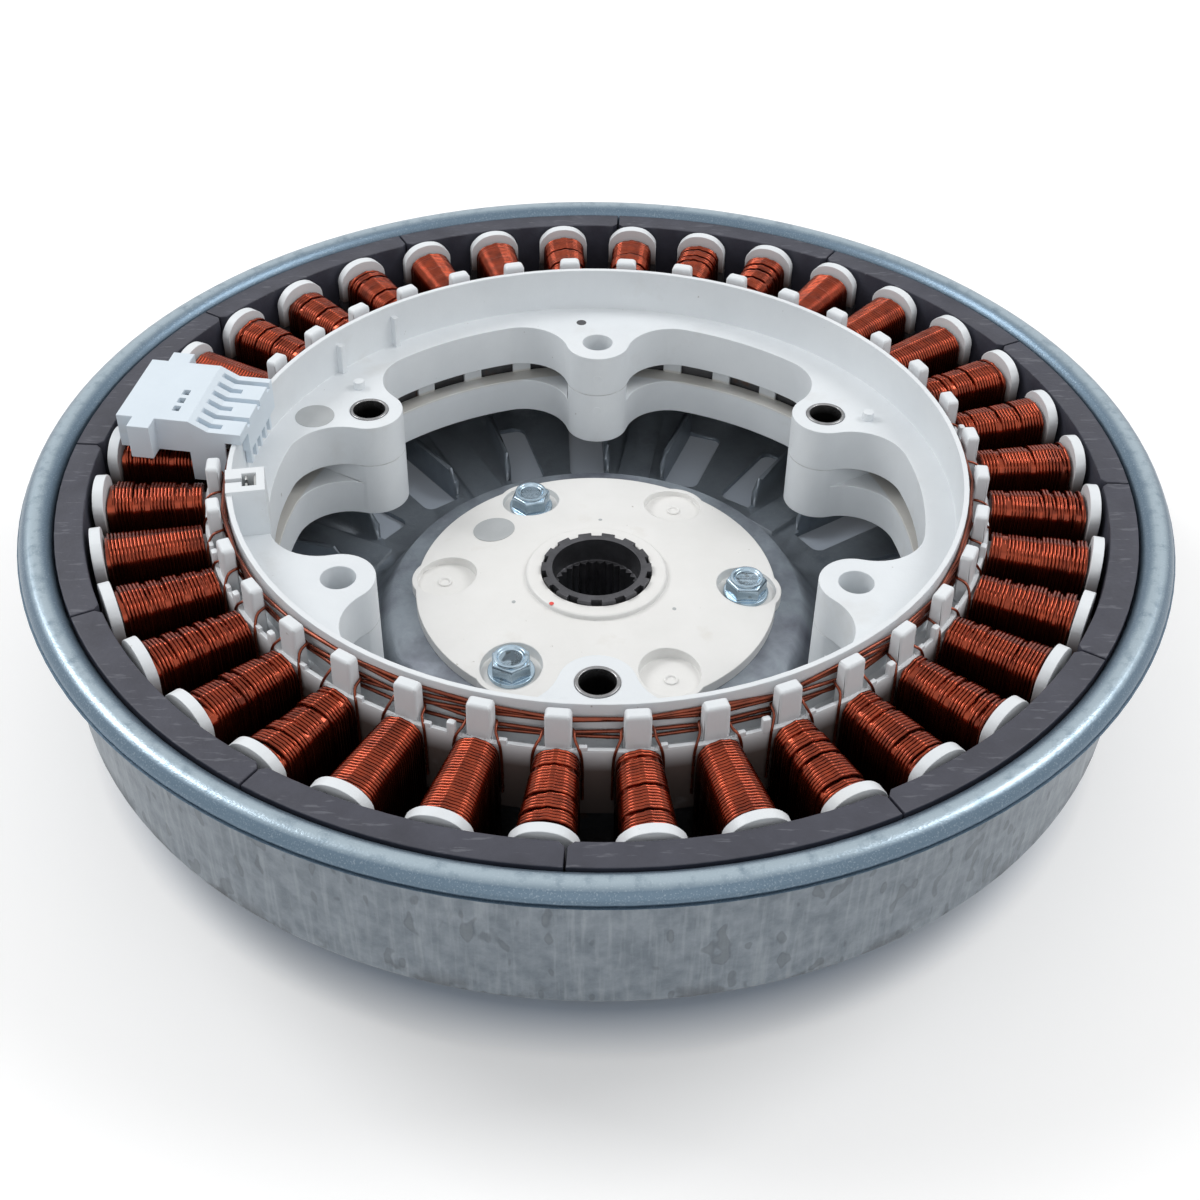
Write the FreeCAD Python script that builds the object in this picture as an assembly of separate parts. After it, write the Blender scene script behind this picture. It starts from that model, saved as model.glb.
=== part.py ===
import FreeCAD, Part
import math
import os

os.makedirs("parts", exist_ok=True)

# Direct-drive washing machine motor: a wound stator nested in its outer rotor.
# Millimetres, +Z up, the motor axis is Z and the rotor cup's underside is at z = 0.

# Mounting bosses: the radii of the stator and its rotor follow from their circle
boss_count = 6
first_boss_angle = 30.0
boss_circle_r = 75.05
boss_r = 9.5
boss_blend_r = 14.0
bolt_hole_r = 4.5
sleeve_wall = 1.0
sleeve_proud = 0.3
boss_stub_half_width = 9.0

# Stator core
tooth_count = 36
first_tooth_angle = 5.0
tooth_reach = 30.6
tooth_tip_width = 15.6
tooth_tip_depth = 2.6
tooth_width = 5.8
yoke_width = 7.6
core_bottom_z = 25.5
core_height = 25.7

# Moulded insulator halves
skirt_from_bosses = 11.95
yoke_from_skirt = 6.0
flange_thickness = 2.2
lower_flange_thickness = 2.0
cap_overhang = 0.5
upper_cap_height = 4.6
lower_cap_height = 4.4
skirt_thickness = 2.3
upper_skirt_depth = 10.8
lower_skirt_height = 8.9
yoke_gap = 0.8
ring_wall_from_yoke = 3.4
ring_wall_thickness = 1.4
ring_wall_height = 13.2
slot_wall_gap = 0.7
slot_wall_thickness = 1.2
slot_wall_rise = 4.6
slot_wall_depth = 12.8
slot_wall_tooth_gap = 0.3
post_setback = 0.6
post_width = 6.0
post_depth = 3.4
post_height = 14.2
plate_width = 15.2
plate_thickness = 2.8
plate_rotor_clearance = 0.4
upper_plate_height = 11.9
upper_plate_shares = ((1.0, 0.0), (1.0, 0.655), (0.62, 0.916), (0.22, 1.0))
lower_plate_height = 7.4
lower_plate_shares = ((1.0, 0.0), (1.0, 0.676), (0.6, 1.0))

# Coils
coil_width = 11.2
coil_wall_gap = 0.1
coil_top_build = 4.6
coil_bottom_build = 3.0
coil_corner = 3.2

# Crossover wires
wire_size = 1.0
wire_rise = 4.6

# Connector block, in its own frame: u runs outwards from the posts' circle, w runs along the ring
connector_angle = 171.3
connector_reach = 26.0
connector_half_width = 13.75
connector_rise = 5.0
connector_low_rise = 2.2
connector_drop = 4.8
connector_slope_start = 6.5
connector_slope_end = 1.5
connector_step = 2.6
connector_tail = 7.4
connector_wall = 1.6
connector_ear_width = 4.5
connector_ear_length = 6.0
connector_ear_setback = 4.5
socket_depth = 16.0
socket_half_width = 10.8
socket_height = 6.6
terminal_pitch = 3.85
terminal_first_w = 0.4
terminal_count = 3
terminal_width = 1.6
terminal_thickness = 0.8
terminal_setback = 4.0
window_setback = 15.6
window_length = 1.9
window_width = 2.4
channel_width = 1.9
channel_depth = 1.9
channel_pitch = 4.3
channel_count = 6
channel_end_gap = 1.5
channel_short_by = 3.0
side_panel_setback = 2.8
side_panel_length = 10.0
side_panel_thickness = 0.85
side_panel_drop = 12.6
hook_end_w = 8.0
hook_drop = 6.0
post_pocket_clearance = 0.4

# Wire clip beside the connector, inside the ring wall
clip_angle = 190.0
clip_length = 10.0
clip_half_width = 5.1
clip_slot_width = 1.6
clip_slot_depth = 5.0
clip_well_setback = 7.8
clip_well_length = 3.6
clip_well_half_width = 2.7
clip_well_depth = 7.0
contact_thickness = 0.6
contact_height = 6.4
contact_blade_width = 2.0
contact_blade_setback = 1.4

# Rotor cup
air_gap = 1.0
sheet = 1.6
magnet_count = 12
magnet_thickness = 7.1
magnet_height = 41.8
magnet_end_gap = 0.5
magnet_bevel = 1.4
first_magnet_angle = -2.8
glue_gap = 0.1
rim_roll_r = 4.6
rim_lip_angle = 7.5
rim_outer_steps = 4
rim_inner_steps = 2
rim_top_z = 64.5
ledge_z = 19.0
ledge_overhang = 1.4
floor_from_wall = 14.8
floor_inner_r = 68.5
raised_centre_r = 57.0
raised_centre_top_z = 17.6
centre_hole_r = 22.0

# Vents, vanes and bands in the cup's floor
vent_pairs = 10
first_pair_angle = 27.0
vent_half_spread = 7.0
vent_width = 11.0
vent_corner = 3.0
vent_inner_r = 78.0
vent_length = 30.0
vane_height = 8.6
vane_setback = 1.6
vane_corner = 3.4
band_width = 10.0
band_rise = 1.5
band_inner_r = 72.0
band_length = 43.0
band_wall = 1.4

# Plastic hub, its steel bush and bolts
hub_angle = -2.4
hub_r = 50.4
hub_edge_height = 3.3
hub_shoulder_r = 22.0
hub_shoulder_top_z = 24.4
collar_r = 19.8
collar_top_z = 25.9
spigot_clearance = 0.2
hub_boss_bottom_z = 3.5
pocket_count = 6
pocket_circle_r = 41.9
pocket_r = 8.3
pocket_floor = 1.8
lobe_wall = 1.6
bush_top_z = 27.1
bush_bottom_z = 4.0
bush_root_r = 14.2
bush_lug_r = 15.4
bush_lug_count = 14
bush_lug_share = 0.56
counterbore_r = 12.3
counterbore_depth = 7.5
serration_count = 32
serration_root_r = 12.0
serration_tip_r = 10.8
bolt_flange_r = 6.3
bolt_flange_height = 1.2
bolt_across_flats = 10.0
bolt_head_height = 5.4
bolt_head_turn = 17.0
bolt_shank_r = 3.0
bolt_tail = 2.6

# Sizes that follow from the ones above
sleeve_outer_r = bolt_hole_r + sleeve_wall
skirt_inner_r = boss_circle_r + skirt_from_bosses
yoke_inner_r = skirt_inner_r + yoke_from_skirt
yoke_outer_r = yoke_inner_r + yoke_width
tooth_tip_r = yoke_outer_r + tooth_reach
core_top_z = core_bottom_z + core_height
flange_top_z = core_top_z + flange_thickness
lower_flange_z = core_bottom_z - lower_flange_thickness
upper_skirt_z = core_top_z - upper_skirt_depth
lower_skirt_z = core_bottom_z + lower_skirt_height
ring_wall_outer_r = yoke_inner_r + ring_wall_from_yoke
ring_wall_inner_r = ring_wall_outer_r - ring_wall_thickness
ring_wall_top_z = flange_top_z + ring_wall_height
side_share = math.cos(math.pi / tooth_count)
slot_wall_r = (yoke_outer_r + slot_wall_gap) / side_share
slot_edge_r = slot_wall_r + slot_wall_thickness / side_share
post_circle_r = yoke_outer_r - post_setback
post_top_z = flange_top_z + post_height
plate_outer_r = tooth_tip_r - plate_rotor_clearance
plate_inner_r = plate_outer_r - plate_thickness
coil_inner_r = slot_edge_r + coil_wall_gap
cap_top_z = core_top_z + upper_cap_height
cap_bottom_z = core_bottom_z - lower_cap_height
coil_top_z = cap_top_z + coil_top_build
coil_bottom_z = cap_bottom_z - coil_bottom_build
cap_width = tooth_width + 2 * cap_overhang
wire_z = flange_top_z + wire_rise
connector_front_u = post_circle_r + connector_reach
connector_inner_u = post_circle_r - connector_tail
connector_top_z = post_top_z + connector_rise
connector_low_top_z = post_top_z + connector_low_rise
connector_bottom_z = post_top_z - connector_drop
slope_start_u = post_circle_r + connector_slope_start
slope_end_u = post_circle_r + connector_slope_end
socket_back_u = connector_front_u - socket_depth
clip_well_inner_u = ring_wall_outer_r - clip_well_setback
clip_well_outer_u = clip_well_inner_u + clip_well_length
magnet_inner_r = tooth_tip_r + air_gap
magnet_outer_r = magnet_inner_r + magnet_thickness
cup_inner_r = magnet_outer_r + glue_gap
floor_outer_r = cup_inner_r - floor_from_wall
magnet_bottom_z = ledge_z + sheet
vent_outer_r = vent_inner_r + vent_length
band_outer_r = band_inner_r + band_length
tooth_angles = [first_tooth_angle + i * 360.0 / tooth_count for i in range(tooth_count)]
boss_angles = [first_boss_angle + i * 360.0 / boss_count for i in range(boss_count)]
pocket_angles = [hub_angle + i * 360.0 / pocket_count for i in range(pocket_count)]
bolt_angles = pocket_angles[0::2]
axis = FreeCAD.Vector(0, 0, 1)
origin = FreeCAD.Vector(0, 0, 0)


def polar(radius, angle, z=0.0):
    turn = math.radians(angle)
    return FreeCAD.Vector(radius * math.cos(turn), radius * math.sin(turn), z)


def turned(shape, angle):
    copy = shape.copy()
    copy.rotate(origin, axis, angle)
    return copy


def cylinder(radius, bottom, top, centre=origin):
    place = FreeCAD.Vector(centre.x, centre.y, bottom)
    return Part.makeCylinder(radius, top - bottom, place)


def ring(inner, outer, bottom, top):
    return cylinder(outer, bottom, top).cut(cylinder(inner, bottom, top))


def block(u_range, w_range, z_range, angle=0.0):
    size = [pair[1] - pair[0] for pair in (u_range, w_range, z_range)]
    corner = FreeCAD.Vector(u_range[0], w_range[0], z_range[0])
    return turned(Part.makeBox(*size, corner), angle)


def prism(points, direction):
    face = Part.Face(Part.makePolygon(list(points) + [points[0]]))
    return face.extrude(direction)


def fused(shapes):
    return shapes[0].multiFuse(shapes[1:]).removeSplitter()


def outline_edges(points):
    return [Part.makeLine(a, b) for a, b in zip(points, points[1:] + points[:1])]


def arc(start, middle, end):
    return Part.Arc(start, middle, end).toShape()


def save(shape, node):
    shape.exportStep("parts/" + node + ".step")


# One tooth's outline follows the next round the yoke: side, tip, side, straight slot bottom.
def core_outline_edges():
    half = tooth_width / 2
    tip_half = tooth_tip_width / 2
    tip_inner_r = tooth_tip_r - tooth_tip_depth
    tip_side = math.sqrt(tooth_tip_r ** 2 - tip_half ** 2)
    near = [(yoke_outer_r, -half), (tip_inner_r, -half), (tip_inner_r, -tip_half), (tip_side, -tip_half)]
    far = [(u, -w) for u, w in reversed(near)]
    edges = []
    last = None
    for angle in tooth_angles + tooth_angles[:1]:
        side = [placed(u, w, 0, angle) for u, w in near]
        other_side = [placed(u, w, 0, angle) for u, w in far]
        if last is not None:
            edges.append(Part.makeLine(last, side[0]))
        last = other_side[-1]
        if len(edges) == 8 * tooth_count:
            return edges
        edges += [Part.makeLine(a, b) for a, b in zip(side, side[1:])]
        edges.append(arc(side[-1], polar(tooth_tip_r, angle), other_side[0]))
        edges += [Part.makeLine(a, b) for a, b in zip(other_side, other_side[1:])]


def placed(u, w, z, angle):
    turn = math.radians(angle)
    x = u * math.cos(turn) - w * math.sin(turn)
    y = u * math.sin(turn) + w * math.cos(turn)
    return FreeCAD.Vector(x, y, z)


def make_core():
    outline = Part.Wire(core_outline_edges())
    bore = Part.Wire([Part.makeCircle(yoke_inner_r)])
    stack = Part.Face([outline, bore]).extrude(FreeCAD.Vector(0, 0, core_height))
    stack.translate(FreeCAD.Vector(0, 0, core_bottom_z))
    return stack


# The open middle of both insulators: arcs that wrap each boss and blend into the skirt.
def opening_face():
    blend_r = skirt_inner_r - boss_blend_r
    reach = boss_r + boss_blend_r
    cosine = (blend_r ** 2 + boss_circle_r ** 2 - reach ** 2) / (2 * blend_r * boss_circle_r)
    blend_turn = math.degrees(math.acos(cosine))
    pitch = 360.0 / boss_count
    edges = []
    for angle in boss_angles:
        boss = polar(boss_circle_r, angle)
        before = polar(blend_r, angle - blend_turn)
        after = polar(blend_r, angle + blend_turn)
        touch_before = boss + (before - boss) * (boss_r / reach)
        touch_after = boss + (after - boss) * (boss_r / reach)
        nose = polar(boss_circle_r - boss_r, angle)
        skirt_before = polar(skirt_inner_r, angle - blend_turn)
        skirt_after = polar(skirt_inner_r, angle + blend_turn)
        next_skirt = polar(skirt_inner_r, angle + pitch - blend_turn)
        edges.append(blend_arc(skirt_before, before, touch_before))
        edges.append(arc(touch_before, nose, touch_after))
        edges.append(blend_arc(touch_after, after, skirt_after))
        edges.append(arc(skirt_after, polar(skirt_inner_r, angle + pitch / 2), next_skirt))
    return Part.Face(Part.Wire(edges))


def blend_arc(start, centre, end):
    towards = (start - centre) + (end - centre)
    towards.normalize()
    return arc(start, centre + towards * boss_blend_r, end)


def opening(bottom, top):
    room = opening_face().extrude(FreeCAD.Vector(0, 0, top - bottom))
    room.translate(FreeCAD.Vector(0, 0, bottom))
    return room


# The flange's edge is straight across each slot.
def slotted_flange(bottom, top, corner_r=slot_edge_r):
    points = [polar(corner_r, angle, bottom) for angle in tooth_angles]
    return prism(points, FreeCAD.Vector(0, 0, top - bottom))


# A wall closes the inner end of every slot, and steps over each tooth with a little room.
def make_slot_wall():
    bottom = core_top_z - slot_wall_depth
    top = flange_top_z + slot_wall_rise
    half = tooth_width / 2 + slot_wall_tooth_gap
    cuts = [slotted_flange(bottom, top, slot_wall_r)]
    for angle in tooth_angles:
        cuts.append(block((yoke_outer_r, slot_edge_r + 1), (-half, half), (bottom, core_top_z), angle))
    return slotted_flange(bottom, top).cut(Part.makeCompound(cuts))


# A tooth's plastic cover: the cap that the wire bears on and the end plate that keeps the coil in.
def tooth_cover(core_face_z, cap_z, plate_height, plate_shares):
    half = plate_width / 2
    cap = block((yoke_outer_r, plate_inner_r + plate_thickness / 2), (-cap_width / 2, cap_width / 2),
                sorted((core_face_z, cap_z)))
    sides = [(-half * across, core_face_z + plate_height * up) for across, up in plate_shares]
    sides += [(-w, z) for w, z in reversed(sides)]
    points = [FreeCAD.Vector(plate_inner_r, w, z) for w, z in sides]
    return cap.fuse(prism(points, FreeCAD.Vector(plate_thickness, 0, 0)))


def make_post():
    depth = (post_circle_r - post_depth / 2, post_circle_r + post_depth / 2)
    return block(depth, (-post_width / 2, post_width / 2), (flange_top_z - flange_thickness / 2, post_top_z))


def boss_holes(bottom, top):
    holes = []
    for index, angle in enumerate(boss_angles):
        radius = sleeve_outer_r if index % 2 == 0 else bolt_hole_r
        holes.append(cylinder(radius, bottom, top, polar(boss_circle_r, angle)))
    return holes


def clip_body():
    return block((ring_wall_outer_r - clip_length, ring_wall_outer_r), (-clip_half_width, clip_half_width),
                 (flange_top_z - 1, post_top_z), clip_angle)


def clip_room():
    well = block((clip_well_inner_u, clip_well_outer_u), (-clip_well_half_width, clip_well_half_width),
                 (post_top_z - clip_well_depth, post_top_z + 1), clip_angle)
    slot = block((clip_well_inner_u + clip_well_length / 2, ring_wall_outer_r + 1),
                 (-clip_slot_width / 2, clip_slot_width / 2),
                 (post_top_z - clip_slot_depth, post_top_z + 1), clip_angle)
    return well.fuse(slot)


# The lower half's bosses stand up past its wall to meet the upper half's.
def boss_stubs():
    width = (-boss_stub_half_width, boss_stub_half_width)
    depth = (boss_circle_r - boss_r - 1, skirt_inner_r)
    return [block(depth, width, (lower_skirt_z - 1, upper_skirt_z), angle) for angle in boss_angles]


def make_upper_insulator():
    skirt = cylinder(skirt_inner_r + skirt_thickness, upper_skirt_z, core_top_z)
    pieces = [slotted_flange(core_top_z, flange_top_z).cut(opening(core_top_z, flange_top_z))]
    pieces.append(skirt.cut(opening(upper_skirt_z, core_top_z)))
    pieces += [ring(ring_wall_inner_r, ring_wall_outer_r, flange_top_z, ring_wall_top_z), make_slot_wall()]
    cover = tooth_cover(core_top_z, cap_top_z, upper_plate_height, upper_plate_shares)
    for angle in tooth_angles:
        pieces.append(turned(make_post(), angle))
        pieces.append(turned(cover, angle))
    pieces.append(clip_body())
    cuts = boss_holes(upper_skirt_z - 1, flange_top_z + 1) + [clip_room()]
    return fused(pieces).cut(Part.makeCompound(cuts))


def make_lower_insulator():
    skirt = cylinder(yoke_inner_r - yoke_gap, core_bottom_z, lower_skirt_z)
    pieces = [slotted_flange(lower_flange_z, core_bottom_z), skirt] + boss_stubs()
    cover = tooth_cover(core_bottom_z, cap_bottom_z, -lower_plate_height, lower_plate_shares)
    pieces += [turned(cover, angle) for angle in tooth_angles]
    cuts = boss_holes(lower_flange_z - 1, upper_skirt_z + 1) + [opening(lower_flange_z, upper_skirt_z)]
    return fused(pieces).cut(Part.makeCompound(cuts))


def make_coil():
    half = coil_width / 2
    corner = coil_corner
    outline = [(-half, coil_bottom_z + corner), (-half + corner, coil_bottom_z), (half - corner, coil_bottom_z),
               (half, coil_bottom_z + corner), (half, coil_top_z - corner), (half - corner, coil_top_z),
               (-half + corner, coil_top_z), (-half, coil_top_z - corner)]
    points = [FreeCAD.Vector(coil_inner_r, w, z) for w, z in outline]
    winding = prism(points, FreeCAD.Vector(plate_inner_r - coil_inner_r, 0, 0))
    core = block((coil_inner_r - 1, plate_inner_r + 1), (-cap_width / 2, cap_width / 2),
                 (cap_bottom_z, cap_top_z))
    return winding.cut(core)


def make_bolt_sleeves():
    sleeves = []
    for angle in boss_angles[0::2]:
        place = polar(boss_circle_r, angle)
        outer = cylinder(sleeve_outer_r, lower_flange_z, flange_top_z + sleeve_proud, place)
        sleeves.append(outer.cut(cylinder(bolt_hole_r, lower_flange_z, flange_top_z + sleeve_proud, place)))
    return Part.makeCompound(sleeves)


# The crossover wires run straight from post to post, so their bundle is a many-sided loop.
def make_crossover_wires():
    loop = []
    for radius in (ring_wall_outer_r + wire_size, ring_wall_outer_r):
        corner_r = radius / side_share
        points = [polar(corner_r, angle + 180.0 / tooth_count, wire_z) for angle in tooth_angles]
        loop.append(prism(points, FreeCAD.Vector(0, 0, wire_size)))
    return loop[0].cut(loop[1])


# The near side of the connector block is at positive w.
def connector_profile():
    top = connector_top_z
    low = connector_low_top_z
    step_u = post_circle_r + connector_step
    points = [(connector_front_u, connector_bottom_z), (connector_front_u, top), (slope_start_u, top),
              (slope_end_u, low), (connector_inner_u, low), (connector_inner_u, ring_wall_top_z),
              (step_u, ring_wall_top_z), (step_u, connector_bottom_z)]
    return [FreeCAD.Vector(u, -connector_half_width, z) for u, z in points]


def connector_ears():
    outer_u = connector_front_u - connector_ear_setback
    ears = []
    for side in (-1, 1):
        near = side * connector_half_width
        far = side * (connector_half_width + connector_ear_width)
        ears.append(block((outer_u - connector_ear_length, outer_u), sorted((near, far)),
                          (connector_bottom_z, connector_top_z)))
    return ears


def terminal_ws():
    return [terminal_first_w + i * terminal_pitch for i in range(terminal_count)]


def make_connector():
    body = prism(connector_profile(), FreeCAD.Vector(0, 2 * connector_half_width, 0))
    panel_u = post_circle_r - side_panel_setback
    panel = block((panel_u, panel_u + side_panel_length),
                  (connector_half_width - side_panel_thickness, connector_half_width),
                  (ring_wall_top_z - side_panel_drop, ring_wall_top_z + 1))
    hook_z = ring_wall_top_z - hook_drop
    hook = block((connector_inner_u, ring_wall_inner_r), (-connector_half_width, hook_end_w),
                 (hook_z, connector_low_top_z))
    hook = hook.common(cylinder(ring_wall_inner_r, hook_z, connector_low_top_z))
    body = fused([body, panel, hook] + connector_ears())
    socket_top = connector_top_z - connector_wall
    cuts = [block((socket_back_u, connector_front_u + 1), (-socket_half_width, socket_half_width),
                  (socket_top - socket_height, socket_top))]
    window_u = connector_front_u - window_setback
    for w in terminal_ws():
        cuts.append(block((window_u, window_u + window_length), (w - window_width / 2, w + window_width / 2),
                          (socket_top - 1, connector_top_z + 1)))
    first_w = -channel_pitch * (channel_count - 1) / 2
    for index in range(channel_count):
        w = first_w + index * channel_pitch
        inner = connector_inner_u - 1 if index % 2 == 0 else slope_end_u - channel_short_by
        cuts.append(block((inner, slope_start_u - channel_end_gap), (w - channel_width / 2, w + channel_width / 2),
                          (connector_low_top_z - channel_depth, connector_top_z + 1)))
    body = turned(body.cut(Part.makeCompound(cuts)), connector_angle)
    return body.cut(Part.makeCompound(post_pockets() + [make_slot_wall()]))


def post_pockets():
    pockets = []
    half_depth = post_depth / 2 + post_pocket_clearance
    half_width = post_width / 2 + post_pocket_clearance
    for angle in tooth_angles:
        if abs(angle - connector_angle) < 12:
            depth = (post_circle_r - half_depth, post_circle_r + half_depth)
            pockets.append(block(depth, (-half_width, half_width),
                                 (ring_wall_top_z - 1, post_top_z + post_pocket_clearance), angle))
    return pockets


def make_connector_pins():
    middle_z = connector_top_z - connector_wall - socket_height / 2
    half = terminal_width / 2
    height = (middle_z - terminal_thickness / 2, middle_z + terminal_thickness / 2)
    pins = [block((socket_back_u, connector_front_u - terminal_setback), (w - half, w + half), height)
            for w in terminal_ws()]
    return turned(Part.makeCompound(pins), connector_angle)


def make_clip_contact():
    bottom = post_top_z - clip_well_depth
    half = clip_well_half_width
    height = (bottom, bottom + contact_height)
    back = block((clip_well_inner_u, clip_well_inner_u + contact_thickness), (-half, half), height)
    foot = block((clip_well_inner_u, clip_well_outer_u), (-half, half), (bottom, bottom + contact_thickness))
    blade_u = clip_well_outer_u - contact_blade_setback
    blades = []
    for side in (-1, 1):
        across = sorted((side * half, side * (half - contact_blade_width)))
        blades.append(block((blade_u, blade_u + contact_thickness), across, height))
    return turned(fused([back, foot] + blades), clip_angle)


def section_point(radius, z):
    return FreeCAD.Vector(radius, 0, z)


# Sheet steel follows a bent centre line; each corner is mitred at half the turn.
def offset_line(points, distance):
    moved = []
    for index, point in enumerate(points):
        before = points[index - 1] if index > 0 else None
        after = points[index + 1] if index < len(points) - 1 else None
        normals = []
        for a, b in ((before, point), (point, after)):
            if a is not None and b is not None:
                along = b - a
                along.normalize()
                normals.append(FreeCAD.Vector(along.z, 0, -along.x))
        bisector = normals[0] + normals[-1]
        bisector.normalize()
        moved.append(point + bisector * (distance / bisector.dot(normals[0])))
    return moved


def roll_points(centre, radius, first, last, steps):
    points = []
    for index in range(steps + 1):
        turn = math.radians(first + (last - first) * index / steps)
        points.append(centre + section_point(radius * math.cos(turn), radius * math.sin(turn)))
    return points


# The cup's section: one sheet from the centre hole, over the floor and the magnets' ledge, to the rolled rim.
def make_cup():
    wall_r = cup_inner_r + sheet / 2
    roll = section_point(cup_inner_r + rim_roll_r, rim_top_z - rim_roll_r)
    top_mid = raised_centre_top_z - sheet / 2
    centre_line = [section_point(*p) for p in (
        (wall_r, roll.z), (wall_r, ledge_z + sheet / 2), (magnet_inner_r + ledge_overhang, ledge_z + sheet / 2),
        (floor_outer_r, sheet / 2), (floor_inner_r, sheet / 2), (raised_centre_r, top_mid), (centre_hole_r, top_mid))]
    outside = offset_line(centre_line, -sheet / 2)
    inside = offset_line(centre_line, sheet / 2)
    over = roll_points(roll, rim_roll_r, 180, rim_lip_angle, rim_outer_steps)
    under = roll_points(roll, rim_roll_r - sheet, rim_lip_angle, 180, rim_inner_steps)
    section = over + under[:-1] + outside + list(reversed(inside[1:]))
    return Part.Face(Part.Wire(outline_edges(section))).revolve(origin, axis, 360)


# A vent is square where its vane is bent up and round-cornered on its free side.
def vent(side):
    half = side * vent_width / 2
    corners = [(vent_inner_r, half), (vent_inner_r, -half), (vent_outer_r, -half), (vent_outer_r, half)]
    hole = prism([FreeCAD.Vector(u, w, -1) for u, w in corners], FreeCAD.Vector(0, 0, sheet + 2))
    free_corners = [edge for edge in hole.Edges
                    if edge.BoundBox.ZLength > 1 and abs(edge.BoundBox.YMin + half) < 0.01]
    return hole.makeFillet(vent_corner, free_corners)


def vane(side):
    hinge = side * vent_width / 2
    start = vent_inner_r + vane_setback
    top = sheet + vane_height
    points = [(start, sheet / 2), (start, top - vane_corner), (start + vane_corner, top), (vent_outer_r, top),
              (vent_outer_r, sheet / 2)]
    face_points = [FreeCAD.Vector(u, hinge, z) for u, z in points]
    return prism(face_points, FreeCAD.Vector(0, side * sheet, 0))


def make_rotor_frame():
    added = []
    removed = []
    half = band_width / 2
    hollow = half - band_wall
    for pair in range(vent_pairs):
        pair_angle = first_pair_angle + pair * 360.0 / vent_pairs
        for side in (-1, 1):
            angle = pair_angle + side * vent_half_spread
            added.append(turned(vane(side), angle))
            removed.append(turned(vent(side), angle))
        band_angle = pair_angle + 180.0 / vent_pairs
        added.append(block((band_inner_r, band_outer_r), (-half, half), (sheet / 2, sheet + band_rise), band_angle))
        removed.append(block((band_inner_r + band_wall, band_outer_r - band_wall), (-hollow, hollow), (-1, band_rise),
                             band_angle))
    for angle in bolt_angles:
        removed.append(cylinder(bolt_shank_r, 0, raised_centre_top_z + 1, polar(pocket_circle_r, angle)))
    return make_cup().multiFuse(added).cut(Part.makeCompound(removed))


def make_magnet(index):
    pitch = 360.0 / magnet_count
    start = first_magnet_angle + index * pitch
    first = start + math.degrees(magnet_end_gap / 2 / magnet_inner_r)
    last = start + pitch - math.degrees(magnet_end_gap / 2 / magnet_inner_r)
    middle = start + pitch / 2
    trim = math.degrees(magnet_bevel / magnet_inner_r)
    cut_r = magnet_inner_r + magnet_bevel
    inner = [polar(magnet_inner_r, last - trim), polar(magnet_inner_r, middle), polar(magnet_inner_r, first + trim)]
    outer = [polar(magnet_outer_r, first), polar(magnet_outer_r, middle), polar(magnet_outer_r, last)]
    ends = [polar(cut_r, last), polar(cut_r, first)]
    edges = [arc(*outer), Part.makeLine(outer[2], ends[0]), Part.makeLine(ends[0], inner[0]), arc(*inner),
             Part.makeLine(inner[2], ends[1]), Part.makeLine(ends[1], outer[0])]
    segment = Part.Face(Part.Wire(edges)).extrude(FreeCAD.Vector(0, 0, magnet_height))
    segment.translate(FreeCAD.Vector(0, 0, magnet_bottom_z))
    return segment


def star_prism(count, valley_r, tip_r, tip_share, bottom, top):
    pitch = 360.0 / count
    points = []
    for index in range(count):
        angle = index * pitch
        half_tip = pitch * tip_share / 2
        points += [polar(tip_r, angle - half_tip, bottom), polar(tip_r, angle + half_tip, bottom)]
        points += [polar(valley_r, angle + half_tip, bottom), polar(valley_r, angle + pitch - half_tip, bottom)]
    return prism(points, FreeCAD.Vector(0, 0, top - bottom))


def make_bush():
    body = star_prism(bush_lug_count, bush_root_r, bush_lug_r, bush_lug_share, bush_bottom_z, bush_top_z)
    counterbore = cylinder(counterbore_r, bush_top_z - counterbore_depth, bush_top_z + 1)
    points = []
    for index in range(serration_count):
        angle = index * 360.0 / serration_count
        points.append(polar(serration_root_r, angle, bush_bottom_z - 1))
        points.append(polar(serration_tip_r, angle + 180.0 / serration_count, bush_bottom_z - 1))
    serration = prism(points, FreeCAD.Vector(0, 0, bush_top_z - bush_bottom_z))
    return body.cut(counterbore).cut(serration)


def make_hub():
    seat = raised_centre_top_z
    edge_z = seat + hub_edge_height
    spigot_r = centre_hole_r - spigot_clearance
    section = [section_point(*p) for p in (
        (bush_lug_r, hub_boss_bottom_z), (spigot_r, hub_boss_bottom_z), (spigot_r, seat), (hub_r, seat),
        (hub_r, edge_z), (hub_shoulder_r, hub_shoulder_top_z), (collar_r, hub_shoulder_top_z),
        (collar_r, collar_top_z), (bush_lug_r, collar_top_z))]
    body = Part.Face(Part.Wire(outline_edges(section))).revolve(origin, axis, 360)
    lobe_r = pocket_r + lobe_wall
    lobes = [cylinder(lobe_r, seat, edge_z, polar(pocket_circle_r, angle)) for angle in pocket_angles]
    cuts = [cylinder(pocket_r, seat + pocket_floor, collar_top_z, polar(pocket_circle_r, a)) for a in pocket_angles]
    for angle in bolt_angles:
        cuts.append(cylinder(bolt_shank_r, seat - 1, collar_top_z, polar(pocket_circle_r, angle)))
    return fused([body] + lobes).cut(Part.makeCompound(cuts))


def hex_prism(across, bottom, top):
    corner_r = across / 2 / math.cos(math.radians(30))
    points = [polar(corner_r, 60 * i, bottom) for i in range(6)]
    return prism(points, FreeCAD.Vector(0, 0, top - bottom))


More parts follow.
